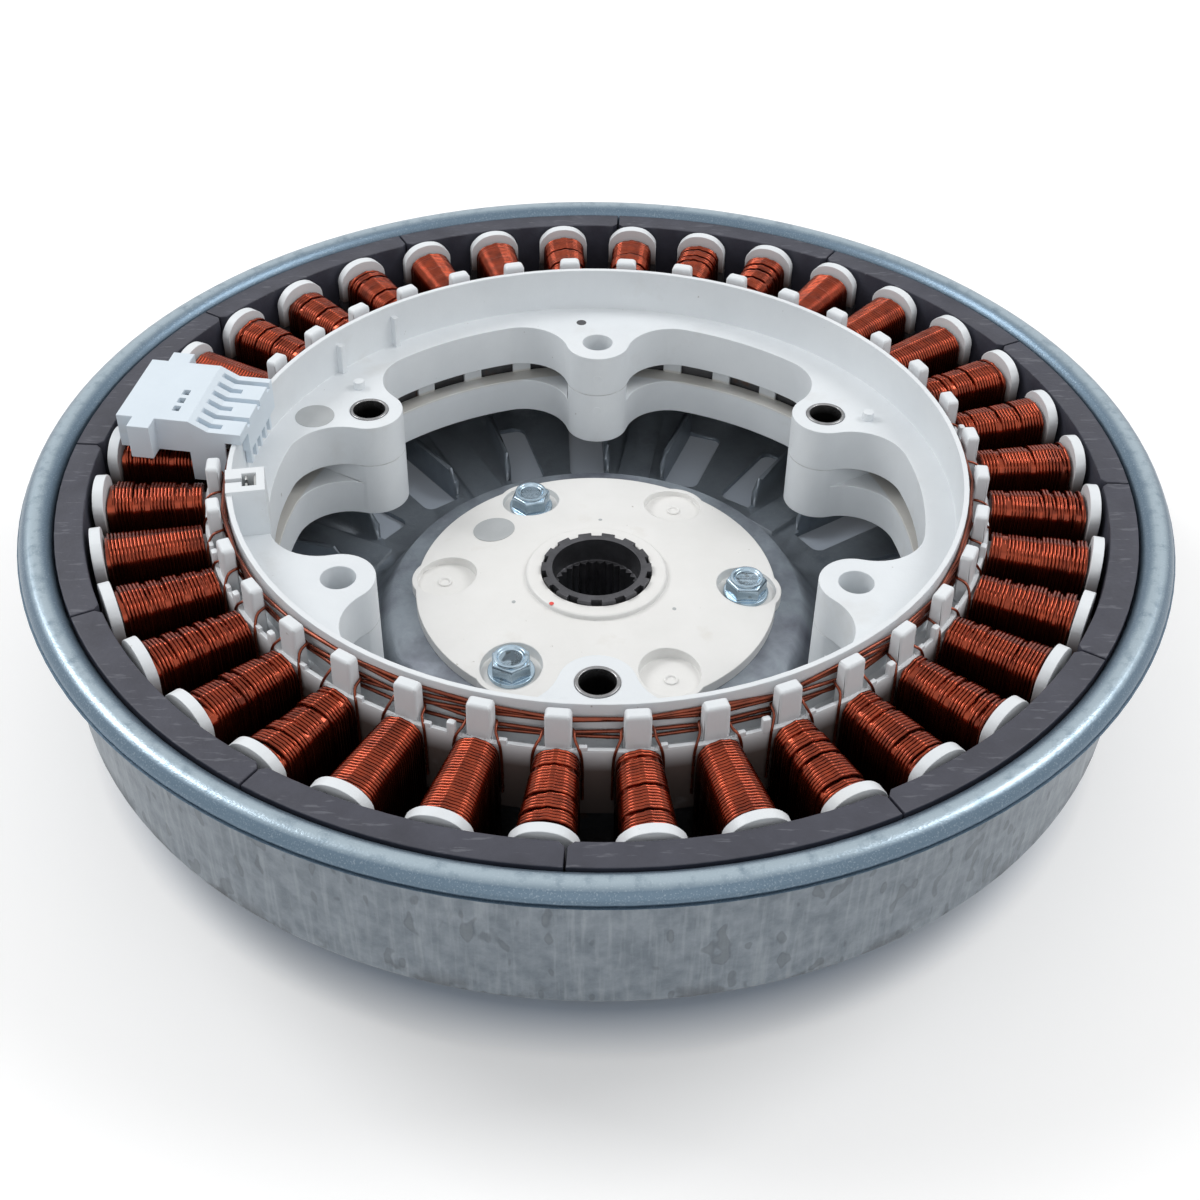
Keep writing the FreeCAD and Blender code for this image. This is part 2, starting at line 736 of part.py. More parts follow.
def make_bolt():
    seat = raised_centre_top_z + pocket_floor
    flange_top = seat + bolt_flange_height
    flange = cylinder(bolt_flange_r, seat, flange_top)
    head = hex_prism(bolt_across_flats, flange_top, seat + bolt_head_height)
    shank = cylinder(bolt_shank_r, raised_centre_top_z - sheet - bolt_tail, seat)
    return fused([flange, head, shank])


def make_hub_bolts():
    bolts = []
    for index, angle in enumerate(bolt_angles):
        bolt = turned(make_bolt(), bolt_head_turn * index)
        bolt.translate(polar(pocket_circle_r, angle))
        bolts.append(bolt)
    return Part.makeCompound(bolts)


save(make_core(), "stator_core")
save(make_upper_insulator(), "upper_insulator")
save(make_lower_insulator(), "lower_insulator")
coil = make_coil()
for number, tooth_angle in enumerate(tooth_angles):
    save(turned(coil, tooth_angle), "coil_%02d" % (number + 1))
save(make_bolt_sleeves(), "bolt_sleeves")
save(make_crossover_wires(), "crossover_wires")
save(make_connector(), "connector_housing")
save(make_connector_pins(), "connector_pins")
save(make_clip_contact(), "clip_contact")
save(make_rotor_frame(), "rotor_frame")
save(Part.makeCompound([make_magnet(number) for number in range(magnet_count)]), "magnets")
save(make_hub(), "rotor_hub")
save(make_bush(), "spline_bush")
save(make_hub_bolts(), "hub_bolts")
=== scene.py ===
import math
import random

import bmesh
import bpy
from mathutils import Matrix, Vector


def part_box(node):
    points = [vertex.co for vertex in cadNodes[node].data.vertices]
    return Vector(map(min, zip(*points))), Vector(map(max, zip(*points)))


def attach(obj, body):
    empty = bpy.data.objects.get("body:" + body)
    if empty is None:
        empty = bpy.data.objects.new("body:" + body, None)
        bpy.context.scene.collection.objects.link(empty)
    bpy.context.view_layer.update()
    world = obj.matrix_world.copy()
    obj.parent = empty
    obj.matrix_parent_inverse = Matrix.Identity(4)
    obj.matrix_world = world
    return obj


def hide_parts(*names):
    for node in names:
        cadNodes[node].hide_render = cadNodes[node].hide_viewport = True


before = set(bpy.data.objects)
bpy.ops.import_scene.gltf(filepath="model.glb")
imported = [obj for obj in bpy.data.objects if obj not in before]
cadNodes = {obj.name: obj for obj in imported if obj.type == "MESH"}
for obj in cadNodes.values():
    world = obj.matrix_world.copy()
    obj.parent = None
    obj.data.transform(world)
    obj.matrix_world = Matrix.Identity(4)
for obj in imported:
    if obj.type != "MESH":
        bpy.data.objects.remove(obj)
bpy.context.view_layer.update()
millimetre = 0.001
print("frame loaded with", len(cadNodes), "nodes")

cameraSetup = {
    "azimuth": -0.659,  # degrees round the motor axis, 0 looks along +Y
    "elevation": 40.258,
    "roll": 0.928,
    "distance": 0.391272,
    "target": (0.000396, -0.062149, 0.0676),
    "lens": 50.18,
}


def placeCamera():
    azimuth, elevation, roll = (
        math.radians(cameraSetup[key]) for key in ("azimuth", "elevation", "roll")
    )
    back = Vector((
        math.sin(azimuth) * math.cos(elevation),
        -math.cos(azimuth) * math.cos(elevation),
        math.sin(elevation),
    ))
    level = Vector((math.cos(azimuth), math.sin(azimuth), 0))
    upright = back.cross(level)
    right = math.cos(roll) * level + math.sin(roll) * upright
    up = -math.sin(roll) * level + math.cos(roll) * upright
    camera = bpy.data.objects.new("camera", bpy.data.cameras.new("camera"))
    bpy.context.collection.objects.link(camera)
    turn = Matrix((right, up, back)).transposed().to_4x4()
    place = Vector(cameraSetup["target"]) + back * cameraSetup["distance"]
    camera.matrix_world = Matrix.Translation(place) @ turn
    camera.data.lens = cameraSetup["lens"]
    camera.data.sensor_width = 36
    camera.data.sensor_fit = "HORIZONTAL"
    camera.data.clip_start = 0.01
    bpy.context.scene.camera = camera


lampSetup = {
    "leftWindow": {"place": (-0.75, 0.30, 0.85), "size": 0.42, "power": 4.6},
    "rightWindow": {"place": (0.72, 0.18, 0.90), "size": 0.42, "power": 3.6},
    "fill": {"place": (0.1, -1.1, 0.75), "size": 1.2, "power": 1.6},
}


def placeLamps():
    for name, setup in lampSetup.items():
        data = bpy.data.lights.new(name, "AREA")
        data.energy = setup["power"]
        data.size = setup["size"]
        lamp = bpy.data.objects.new(name, data)
        bpy.context.collection.objects.link(lamp)
        lamp.location = setup["place"]
        lamp.rotation_euler = (-Vector(setup["place"])).to_track_quat("-Z", "Y").to_euler()


stageSetup = {
    "floorSize": 3.0, "floorColour": 0.88, "floorGlow": 0.2, "skyLight": 0.6,
    # painted shade: under the cup the floor's colour turns darker blue-grey
    "underObject": (0.128, 0.142), "glowUnder": 0.15, "shadeColourUnder": (0.40, 0.46, 0.54),
}


def fillInputs(tree, node, values):
    for key, value in values.items():
        if isinstance(value, bpy.types.NodeSocket):
            tree.links.new(value, node.inputs[key])
        else:
            node.inputs[key].default_value = value
    return node


def addNode(tree, kind, values=None, **settings):
    node = tree.nodes.new(kind)
    for key, value in settings.items():
        setattr(node, key, value)
    return fillInputs(tree, node, values or {})


def seenRays(tree):
    # 1 for camera, glossy and transmission rays, which see the white background
    path = addNode(tree, "ShaderNodeLightPath")
    some = addNode(tree, "ShaderNodeMath", {
        0: path.outputs["Is Camera Ray"], 1: path.outputs["Is Glossy Ray"],
    }, operation="MAXIMUM")
    return addNode(tree, "ShaderNodeMath", {
        0: some.outputs[0], 1: path.outputs["Is Transmission Ray"],
    }, operation="MAXIMUM").outputs[0]


def buildStage():
    floorMesh = bpy.data.meshes.new("studioFloor")
    built = bmesh.new()
    bmesh.ops.create_grid(built, x_segments=1, y_segments=1, size=stageSetup["floorSize"])
    built.to_mesh(floorMesh)
    built.free()
    floor = bpy.data.objects.new("studioFloor", floorMesh)
    bpy.context.collection.objects.link(floor)
    material = bpy.data.materials.new("paleFloor")
    material.use_nodes = True
    tree = material.node_tree
    shader = tree.nodes["Principled BSDF"]
    shader.inputs["Roughness"].default_value = 0.9
    shader.inputs["Emission Color"].default_value = (1, 1, 1, 1)
    reach = addNode(tree, "ShaderNodeVectorMath", {
        0: addNode(tree, "ShaderNodeTexCoord").outputs["Object"],
    }, operation="LENGTH")
    start, full = stageSetup["underObject"]
    spread = addNode(tree, "ShaderNodeMapRange", {
        "Value": reach.outputs["Value"], "From Min": start, "From Max": full,
        "To Min": stageSetup["glowUnder"] * stageSetup["floorGlow"],
        "To Max": stageSetup["floorGlow"],
    })
    glow = addNode(tree, "ShaderNodeMath", {
        0: seenRays(tree), 1: spread.outputs[0],
    }, operation="MULTIPLY")
    tree.links.new(glow.outputs[0], shader.inputs["Emission Strength"])
    # painted shade: the floor's colour goes from pale to darker blue-grey under the cup
    pale, shaded = stageSetup["floorColour"], stageSetup["shadeColourUnder"]
    outside = addNode(tree, "ShaderNodeMapRange", {
        "Value": reach.outputs["Value"], "From Min": start, "From Max": full,
    })
    colour = addNode(tree, "ShaderNodeMix", {
        "Factor": outside.outputs[0], 6: (*shaded, 1), 7: (pale, pale, pale, 1),
    }, data_type="RGBA")
    tree.links.new(colour.outputs[2], shader.inputs["Base Color"])
    floorMesh.materials.append(material)

    world = bpy.data.worlds.new("studio")
    world.use_nodes = True
    tree = world.node_tree
    sky = tree.nodes["Background"]
    sky.inputs["Color"].default_value = (1, 1, 1, 1)
    strength = addNode(tree, "ShaderNodeMapRange", {
        "Value": seenRays(tree), "To Min": stageSetup["skyLight"], "To Max": 1.0,
    })
    tree.links.new(strength.outputs[0], sky.inputs["Strength"])
    bpy.context.scene.world = world
    bpy.context.scene.view_settings.view_transform = "Standard"


placeCamera()
placeLamps()
buildStage()
print("camera, floor and lamps placed")


def startGroup(name, inputs, outputs):
    group = bpy.data.node_groups.new(name, "ShaderNodeTree")
    kinds = {"vector": "NodeSocketVector", "value": "NodeSocketFloat", "colour": "NodeSocketColor"}
    for socketName, kind, default in inputs:
        socket = group.interface.new_socket(
            name=socketName, in_out="INPUT", socket_type=kinds[kind]
        )
        if default is not None:
            socket.default_value = default
    for socketName, kind in outputs:
        group.interface.new_socket(name=socketName, in_out="OUTPUT", socket_type=kinds[kind])
    return group, group.nodes.new("NodeGroupInput"), group.nodes.new("NodeGroupOutput")


def makeMottle():
    # soft change between two colours
    group, given, result = startGroup(
        "mottle",
        [("Vector", "vector", None), ("Scale", "value", 40.0), ("Spread", "value", 0.3),
         ("Low Colour", "colour", (0, 0, 0, 1)), ("High Colour", "colour", (1, 1, 1, 1))],
        [("Colour", "colour"), ("Mask", "value")],
    )
    noise = addNode(group, "ShaderNodeTexNoise", {
        "Vector": given.outputs["Vector"], "Scale": given.outputs["Scale"],
        "Detail": 5.0, "Roughness": 0.62,
    })
    low = addNode(group, "ShaderNodeMath", {0: 0.5, 1: given.outputs["Spread"]},
                  operation="SUBTRACT")
    high = addNode(group, "ShaderNodeMath", {0: 0.5, 1: given.outputs["Spread"]},
                   operation="ADD")
    mask = addNode(group, "ShaderNodeMapRange", {
        "Value": noise.outputs["Fac"], "From Min": low.outputs[0], "From Max": high.outputs[0],
    })
    blend = addNode(group, "ShaderNodeMix", {
        "Factor": mask.outputs[0],
        6: given.outputs["Low Colour"], 7: given.outputs["High Colour"],
    }, data_type="RGBA")
    group.links.new(blend.outputs[2], result.inputs["Colour"])
    group.links.new(mask.outputs[0], result.inputs["Mask"])
    return group


def makePatches():
    # marks with a clear edge: stains, smears, streaks and scratches by their stretch
    group, given, result = startGroup(
        "patches",
        [("Vector", "vector", None), ("Stretch", "vector", (1, 1, 1)), ("Scale", "value", 40.0),
         ("Level", "value", 0.6), ("Softness", "value", 0.05), ("Detail", "value", 4.0),
         ("Warp", "value", 0.0)],
        [("Mask", "value")],
    )
    stretched = addNode(group, "ShaderNodeVectorMath", {
        0: given.outputs["Vector"], 1: given.outputs["Stretch"],
    }, operation="MULTIPLY")
    noise = addNode(group, "ShaderNodeTexNoise", {
        "Vector": stretched.outputs[0], "Scale": given.outputs["Scale"],
        "Detail": given.outputs["Detail"], "Roughness": 0.55,
        "Distortion": given.outputs["Warp"],
    })
    full = addNode(group, "ShaderNodeMath", {
        0: given.outputs["Level"], 1: given.outputs["Softness"],
    }, operation="ADD")
    mask = addNode(group, "ShaderNodeMapRange", {
        "Value": noise.outputs["Fac"],
        "From Min": given.outputs["Level"], "From Max": full.outputs[0],
    })
    group.links.new(mask.outputs[0], result.inputs["Mask"])
    return group


def makeGrain():
    # fine surface relief and the gloss change that goes with it
    group, given, result = startGroup(
        "grain",
        [("Vector", "vector", None), ("Stretch", "vector", (1, 1, 1)), ("Scale", "value", 900.0),
         ("Smooth", "value", 0.3), ("Rough", "value", 0.5)],
        [("Height", "value"), ("Roughness", "value")],
    )
    stretched = addNode(group, "ShaderNodeVectorMath", {
        0: given.outputs["Vector"], 1: given.outputs["Stretch"],
    }, operation="MULTIPLY")
    noise = addNode(group, "ShaderNodeTexNoise", {
        "Vector": stretched.outputs[0], "Scale": given.outputs["Scale"],
        "Detail": 3.0, "Roughness": 0.5,
    })
    broad = addNode(group, "ShaderNodeTexNoise", {
        "Vector": given.outputs["Vector"], "Scale": 60.0, "Detail": 4.0, "Roughness": 0.6,
    })
    gloss = addNode(group, "ShaderNodeMapRange", {
        "Value": broad.outputs["Fac"], "From Min": 0.3, "From Max": 0.7,
        "To Min": given.outputs["Smooth"], "To Max": given.outputs["Rough"],
    })
    group.links.new(noise.outputs["Fac"], result.inputs["Height"])
    group.links.new(gloss.outputs[0], result.inputs["Roughness"])
    return group


def makeRoundTheAxis():
    # the place on a turned part: a vector that barely changes round the axis,
    # with the distance out and the height beside it
    group, given, result = startGroup(
        "roundTheAxis", [("Vector", "vector", None), ("Turn", "value", 0.05)],
        [("Vector", "vector"), ("Out", "value"), ("Up", "value")],
    )
    parts = addNode(group, "ShaderNodeSeparateXYZ", {0: given.outputs["Vector"]})
    flat = addNode(group, "ShaderNodeCombineXYZ", {
        "X": parts.outputs["X"], "Y": parts.outputs["Y"],
    })
    out = addNode(group, "ShaderNodeVectorMath", {0: flat.outputs[0]}, operation="LENGTH")
    facing = addNode(group, "ShaderNodeVectorMath", {0: flat.outputs[0]}, operation="NORMALIZE")
    slow = addNode(group, "ShaderNodeVectorMath", {
        0: facing.outputs[0], "Scale": given.outputs["Turn"],
    }, operation="SCALE")
    slowParts = addNode(group, "ShaderNodeSeparateXYZ", {0: slow.outputs[0]})
    both = addNode(group, "ShaderNodeMath", {
        0: out.outputs["Value"], 1: parts.outputs["Z"],
    }, operation="ADD")
    ringVector = addNode(group, "ShaderNodeCombineXYZ", {
        "X": slowParts.outputs["X"], "Y": slowParts.outputs["Y"], "Z": both.outputs[0],
    })
    group.links.new(ringVector.outputs[0], result.inputs["Vector"])
    group.links.new(out.outputs["Value"], result.inputs["Out"])
    group.links.new(parts.outputs["Z"], result.inputs["Up"])
    return group


effects = {
    "mottle": makeMottle(), "patches": makePatches(),
    "grain": makeGrain(), "roundTheAxis": makeRoundTheAxis(),
}


def addEffect(tree, name, values):
    node = tree.nodes.new("ShaderNodeGroup")
    node.node_tree = effects[name]
    return fillInputs(tree, node, values)


def makeFinish(name, look):
    material = bpy.data.materials.new(name)
    material.use_nodes = True
    tree = material.node_tree
    shader = tree.nodes["Principled BSDF"]
    place = addNode(tree, "ShaderNodeTexCoord").outputs["Object"]
    around = addEffect(tree, "roundTheAxis", {"Vector": place, "Turn": look.get("turn", 0.05)})
    base = addEffect(tree, "mottle", {
        "Vector": place, "Scale": look["scale"], "Spread": look.get("spread", 0.25),
        "Low Colour": (*look["low"], 1), "High Colour": (*look["high"], 1),
    })
    colour = base.outputs["Colour"]
    grain = addEffect(tree, "grain", {
        "Vector": place, "Stretch": look.get("grainStretch", (1, 1, 1)),
        "Scale": look["grainScale"], "Smooth": look["smooth"], "Rough": look["rough"],
    })
    roughness = grain.outputs["Roughness"]
    metallic = None
    for layer in look.get("layers", []):
        mask = addEffect(tree, "patches", {
            "Vector": around.outputs["Vector"] if layer.get("around") else place,
            "Stretch": layer.get("stretch", (1, 1, 1)), "Scale": layer["scale"],
            "Level": layer["level"], "Softness": layer.get("softness", 0.05),
            "Detail": layer.get("detail", 4.0), "Warp": layer.get("warp", 0.0),
        }).outputs["Mask"]
        for key, side in (("Out", "Out"), ("Up", "Up"), ("Under", "Up")):
            if key in layer:
                start, full = layer[key]
                limit = addNode(tree, "ShaderNodeMapRange", {
                    "Value": around.outputs[side], "From Min": start, "From Max": full,
                })
                mask = addNode(tree, "ShaderNodeMath", {
                    0: mask, 1: limit.outputs[0],
                }, operation="MULTIPLY").outputs[0]
        mask = addNode(tree, "ShaderNodeMath", {
            0: mask, 1: layer.get("amount", 1.0),
        }, operation="MULTIPLY").outputs[0]
        colour = addNode(tree, "ShaderNodeMix", {
            "Factor": mask, 6: colour, 7: (*layer["colour"], 1),
        }, data_type="RGBA").outputs[2]
        if "roughness" in layer:
            roughness = addNode(tree, "ShaderNodeMix", {
                "Factor": mask, 2: roughness, 3: layer["roughness"],
            }).outputs[0]
        if "metallic" in layer:
            metallic = addNode(tree, "ShaderNodeMix", {
                "Factor": mask, 2: metallic or look.get("metallic", 0.0), 3: layer["metallic"],
            }).outputs[0]
    tree.links.new(colour, shader.inputs["Base Color"])
    tree.links.new(roughness, shader.inputs["Roughness"])
    if metallic is None:
        shader.inputs["Metallic"].default_value = look.get("metallic", 0.0)
    else:
        tree.links.new(metallic, shader.inputs["Metallic"])
    shader.inputs["Specular IOR Level"].default_value = look.get("specular", 0.5)
    shader.inputs["Coat Weight"].default_value = look.get("coat", 0.0)
    shader.inputs["Coat Roughness"].default_value = look.get("coatRoughness", 0.2)
    bump = addNode(tree, "ShaderNodeBump", {
        "Height": grain.outputs["Height"], "Strength": look.get("relief", 0.15),
        "Distance": look.get("reliefDepth", 0.0003),
    })
    tree.links.new(bump.outputs[0], shader.inputs["Normal"])
    return material


finishes = {
    "insulator_plastic": makeFinish("whiteMoulding", {
        "low": (0.72, 0.755, 0.785), "high": (0.79, 0.825, 0.85), "scale": 45,
        "smooth": 0.36, "rough": 0.50, "grainScale": 1500, "relief": 0.1,
        "layers": [
            {"colour": (0.50, 0.47, 0.42), "scale": 55, "level": 0.62, "softness": 0.14,
             "amount": 0.22, "detail": 7.0},
            {"colour": (0.20, 0.17, 0.14), "scale": 420, "level": 0.73, "softness": 0.03,
             "amount": 0.5},
            # painted shade: dark brown low on the wall between the coils, deep in the slots
            {"colour": (0.115, 0.075, 0.06), "scale": 60, "level": 0.05, "softness": 0.35,
             "amount": 0.92, "Out": (0.1003, 0.1010), "Up": (0.0572, 0.0520)},
            # the joint between the two halves shows on the bosses
            {"colour": (0.30, 0.30, 0.29), "scale": 200, "level": 0.1, "softness": 0.5,
             "amount": 0.6, "Out": (0.0880, 0.0872), "Up": (0.04015, 0.04035),
             "Under": (0.04065, 0.04045)},
            # painted shade warmed by copper bounce light: the lower half's top land is tan
            {"colour": (0.52, 0.46, 0.36), "scale": 60, "level": 0.1, "softness": 0.3,
             "amount": 0.45, "Out": (0.0864, 0.0872), "Up": (0.0336, 0.0342),
             "Under": (0.0354, 0.0347)},
        ],
    }),
    "connector_plastic": makeFinish("connectorMoulding", {
        "low": (0.64, 0.72, 0.79), "high": (0.70, 0.78, 0.85), "scale": 60,
        "smooth": 0.34, "rough": 0.46, "grainScale": 1600, "relief": 0.08,
        "layers": [
            {"colour": (0.5, 0.48, 0.44), "scale": 90, "level": 0.66, "softness": 0.08,
             "amount": 0.2},
        ],
    }),
    "hub_plastic": makeFinish("creamMoulding", {
        "low": (0.77, 0.765, 0.745), "high": (0.85, 0.845, 0.83), "scale": 35,
        "smooth": 0.34, "rough": 0.48, "grainScale": 1300, "relief": 0.1,
        "layers": [
            {"colour": (0.52, 0.46, 0.36), "scale": 60, "level": 0.62, "softness": 0.12,
             "amount": 0.22, "detail": 7.0},
            {"colour": (0.22, 0.18, 0.13), "scale": 500, "level": 0.73, "softness": 0.03,
             "amount": 0.5},
        ],
    }),
    "galvanised_sheet": makeFinish("galvanisedSheet", {
        "low": (0.155, 0.185, 0.215), "high": (0.24, 0.275, 0.31), "scale": 230, "spread": 0.16,
        "metallic": 0.55, "smooth": 0.34, "rough": 0.46, "grainScale": 1700, "relief": 0.2,
        "layers": [
            # fine upright streaks in the zinc
            {"colour": (0.38, 0.42, 0.45), "stretch": (1, 1, 0.07), "scale": 700,
             "level": 0.50, "softness": 0.2, "amount": 0.35},
            # the rolled rim is bluer zinc, painted darker as a painted reflection of the dark
            # surroundings on its slopes
            {"colour": (0.115, 0.175, 0.235), "scale": 1, "level": -1.0, "amount": 0.9,
             "Up": (0.0588, 0.0602), "metallic": 0.7, "roughness": 0.32},
            # with a painted highlight along the crest
            {"colour": (0.52, 0.62, 0.68), "scale": 300, "level": 0.1, "softness": 0.4,
             "amount": 0.9, "Up": (0.0634, 0.0645), "Out": (0.1408, 0.1430),
             "roughness": 0.26},
            # fine bright speckle on the rim: partly the zinc's own grain, partly painted glints
            {"colour": (0.60, 0.68, 0.74), "scale": 2400, "level": 0.55, "softness": 0.14,
             "amount": 0.22, "Up": (0.0588, 0.0602)},
            # dried drops on the wall, small and upright, with a darker edge
            {"colour": (0.085, 0.098, 0.115), "stretch": (1, 1, 0.5), "scale": 235,
             "level": 0.635, "softness": 0.03, "amount": 0.42, "roughness": 0.5,
             "Up": (0.0575, 0.054), "detail": 1.0},
            {"colour": (0.20, 0.23, 0.25), "stretch": (1, 1, 0.5), "scale": 235,
             "level": 0.68, "softness": 0.03, "amount": 0.35, "Up": (0.0575, 0.054),
             "detail": 1.0},
            {"colour": (0.07, 0.07, 0.075), "scale": 90, "level": 0.50, "softness": 0.08,
             "amount": 0.7, "Up": (0.026, 0.019), "Out": (0.136, 0.138), "roughness": 0.7},
            # the floor inside is smoother and darker
            {"colour": (0.30, 0.34, 0.385), "scale": 40, "level": 0.20, "softness": 0.3,
             "amount": 0.75, "Out": (0.134, 0.128), "Up": (0.024, 0.019), "roughness": 0.34,
             "metallic": 0.3},
            # dark blotchy ring round the hub, on the floor inside
            {"colour": (0.055, 0.05, 0.08), "around": True, "scale": 75, "level": 0.42,
             "softness": 0.3, "amount": 0.7, "Out": (0.075, 0.067), "roughness": 0.42},
        ],
    }),
    "ferrite": makeFinish("ferriteMagnet", {
        "low": (0.026, 0.027, 0.040), "high": (0.050, 0.052, 0.072), "scale": 110,
        "smooth": 0.42, "rough": 0.62, "grainScale": 900, "relief": 0.25,
        "layers": [
            {"colour": (0.15, 0.155, 0.18), "stretch": (0.3, 1.7, 1), "scale": 520,
             "level": 0.60, "softness": 0.08, "amount": 0.45, "Up": (0.0615, 0.0623)},
        ],
    }),
    "bush_steel": makeFinish("darkSteel", {
        "low": (0.055, 0.055, 0.06), "high": (0.11, 0.11, 0.12), "scale": 160,
        "smooth": 0.30, "rough": 0.48, "grainScale": 1200, "relief": 0.25, "metallic": 0.7,
    }),
    "zinc_steel": makeFinish("blueZinc", {
        "low": (0.30, 0.40, 0.48), "high": (0.50, 0.61, 0.70), "scale": 260,
        "smooth": 0.16, "rough": 0.32, "grainScale": 1500, "relief": 0.12, "metallic": 0.9,
        "layers": [
            {"colour": (0.18, 0.20, 0.20), "scale": 350, "level": 0.62, "softness": 0.06,
             "amount": 0.6},
        ],
    }),
    "sleeveSteel": makeFinish("sleeveSteel", {
        "low": (0.20, 0.20, 0.205), "high": (0.36, 0.36, 0.365), "scale": 300,
        "smooth": 0.2, "rough": 0.36, "grainScale": 1400, "relief": 0.1, "metallic": 0.9,
        "layers": [
            # painted shade: near black below the flange top, where the sleeve goes down into its
            # boss
            {"colour": (0.02, 0.018, 0.017), "scale": 1, "level": -1.0, "amount": 0.92,
             "Up": (0.0530, 0.0505)},
        ],
    }),
    "lamination": makeFinish("stackedSheet", {
        "low": (0.06, 0.06, 0.065), "high": (0.13, 0.13, 0.135), "scale": 120,
        "smooth": 0.4, "rough": 0.6, "grainScale": 1500, "grainStretch": (0.05, 0.05, 1.6),
        "relief": 0.5, "reliefDepth": 0.0004, "metallic": 0.5,
        "layers": [
            {"colour": (0.16, 0.07, 0.03), "scale": 130, "level": 0.58, "softness": 0.08,
             "amount": 0.5, "metallic": 0.0, "roughness": 0.8},
        ],
    }),
    "winding": makeFinish("enamelledCopper", {
        "low": (0.155, 0.024, 0.010), "high": (0.36, 0.060, 0.023), "scale": 200, "spread": 0.2,
        "smooth": 0.12, "rough": 0.20, "grainScale": 1200, "relief": 0.03, "metallic": 0.9,
        "coat": 0.2, "coatRoughness": 0.1,
        "layers": [
            # painted shade: the coils go near black lower down in the slots
            {"colour": (0.030, 0.007, 0.004), "scale": 1, "level": -1.0,
             "amount": 0.9, "Up": (0.0580, 0.050)},
            {"colour": (0.06, 0.012, 0.007), "scale": 90, "level": 0.60, "softness": 0.08,
             "amount": 0.45},
        ],
    }),
    "leadWire": makeFinish("brownEnamel", {
        "low": (0.11, 0.024, 0.011), "high": (0.27, 0.055, 0.022), "scale": 240,
        "smooth": 0.22, "rough": 0.34, "grainScale": 1200, "relief": 0.03, "metallic": 0.8,
        "coat": 0.3, "coatRoughness": 0.15,
    }),
    "tinned_metal": makeFinish("tinnedPins", {
        "low": (0.55, 0.55, 0.54), "high": (0.72, 0.72, 0.70), "scale": 300,
        "smooth": 0.2, "rough": 0.35, "grainScale": 1500, "relief": 0.1, "metallic": 0.95,
    }),
    "contact_steel": makeFinish("greyContact", {
        "low": (0.36, 0.37, 0.37), "high": (0.55, 0.56, 0.56), "scale": 250,
        "smooth": 0.22, "rough": 0.4, "grainScale": 1500, "relief": 0.1, "metallic": 0.9,
    }),
    "greyLabel": makeFinish("greyLabel", {
        "low": (0.40, 0.42, 0.43), "high": (0.47, 0.49, 0.50), "scale": 120,
        "smooth": 0.35, "rough": 0.5, "grainScale": 900, "relief": 0.05,
    }),
    "redPaint": makeFinish("redPaint", {
        "low": (0.75, 0.05, 0.04), "high": (0.85, 0.12, 0.09), "scale": 900,
        "smooth": 0.3, "rough": 0.5, "grainScale": 900, "relief": 0.05,
    }),
}
print("finishes made:", len(finishes))


def finishPiece(built, name, body, slot, replaced=(), smoothUnder=35, weighted=True,
                finish=None, turnFaces=True):
    mesh = bpy.data.meshes.new(name)
    if turnFaces:
        bmesh.ops.recalc_face_normals(built, faces=built.faces)
    built.to_mesh(mesh)
    built.free()
    mesh.materials.append(finishes[finish or slot])
    mesh.polygons.foreach_set("use_smooth", [True] * len(mesh.polygons))
    mesh.set_sharp_from_angle(angle=math.radians(smoothUnder))
    piece = bpy.data.objects.new(name, mesh)
    bpy.context.collection.objects.link(piece)
    if weighted:
        piece.modifiers.new("evenShading", "WEIGHTED_NORMAL").keep_sharp = True
    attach(piece, body)
    if replaced:
        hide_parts(*replaced)
    return piece


def mergedCopy(node, joinBeyond=None):
    # flat faces stay as triangles, and are joined only beyond a radius in millimetres,
    # where none has a hole in it
    built = bmesh.new()
    built.from_mesh(cadNodes[node].data)
    bmesh.ops.remove_doubles(built, verts=built.verts, dist=0.000002)
    if joinBeyond is not None:
        far = [vert for vert in built.verts if vert.co.xy.length > joinBeyond * millimetre]
        edges = list({edge for vert in far for edge in vert.link_edges
                      if all(end.co.xy.length > joinBeyond * millimetre for end in edge.verts)})
        bmesh.ops.dissolve_limit(
            built, angle_limit=math.radians(0.7), verts=far, edges=edges,
            use_dissolve_boundaries=False, delimit={"NORMAL"},
        )
    return built


def sharpEdges(built, over, keep=lambda middle: True):
    return [
        edge for edge in built.edges
        if edge.is_manifold and edge.calc_face_angle() > math.radians(over)
        and keep((edge.verts[0].co + edge.verts[1].co) / 2)
    ]


def roundEdges(built, edges, radius, segments):
    bmesh.ops.bevel(
        built, geom=edges, offset=radius, offset_type="OFFSET", segments=segments,
        profile=0.5, affect="EDGES", material=-1, clamp_overlap=False, loop_slide=True,
    )


def outDistance(place):
    return place.xy.length / millimetre


postShape = {
    "pegOver": 0.0585, "pegOut": 100, "pegDepth": 3.2, "pegEdge": 1.0,
    "archOver": 0.0525, "archBeyond": 127, "archEdge": 1.5,
}


def roundPosts(built):
    # posts are rounded like pegs, and the end plates arch over
    pegs = sharpEdges(built, 40, lambda place: (
        place.z > postShape["pegOver"]
        and abs(outDistance(place) - postShape["pegOut"]) < postShape["pegDepth"]
    ))
    roundEdges(built, pegs, postShape["pegEdge"] * millimetre, 3)
    arches = []
    for edge in sharpEdges(built, 12, lambda place: (
        place.z > postShape["archOver"] and outDistance(place) > postShape["archBeyond"]
    )):
        along = (edge.verts[0].co - edge.verts[1].co).normalized()
        middle = (edge.verts[0].co + edge.verts[1].co) / 2
        if abs(along.xy.dot(middle.xy.normalized())) > 0.9:
            arches.append(edge)
    roundEdges(built, arches, postShape["archEdge"] * millimetre, 3)


hubShape = {"collarRadius": 19.8, "collarOver": 0.0257, "collarEdge": 0.9}


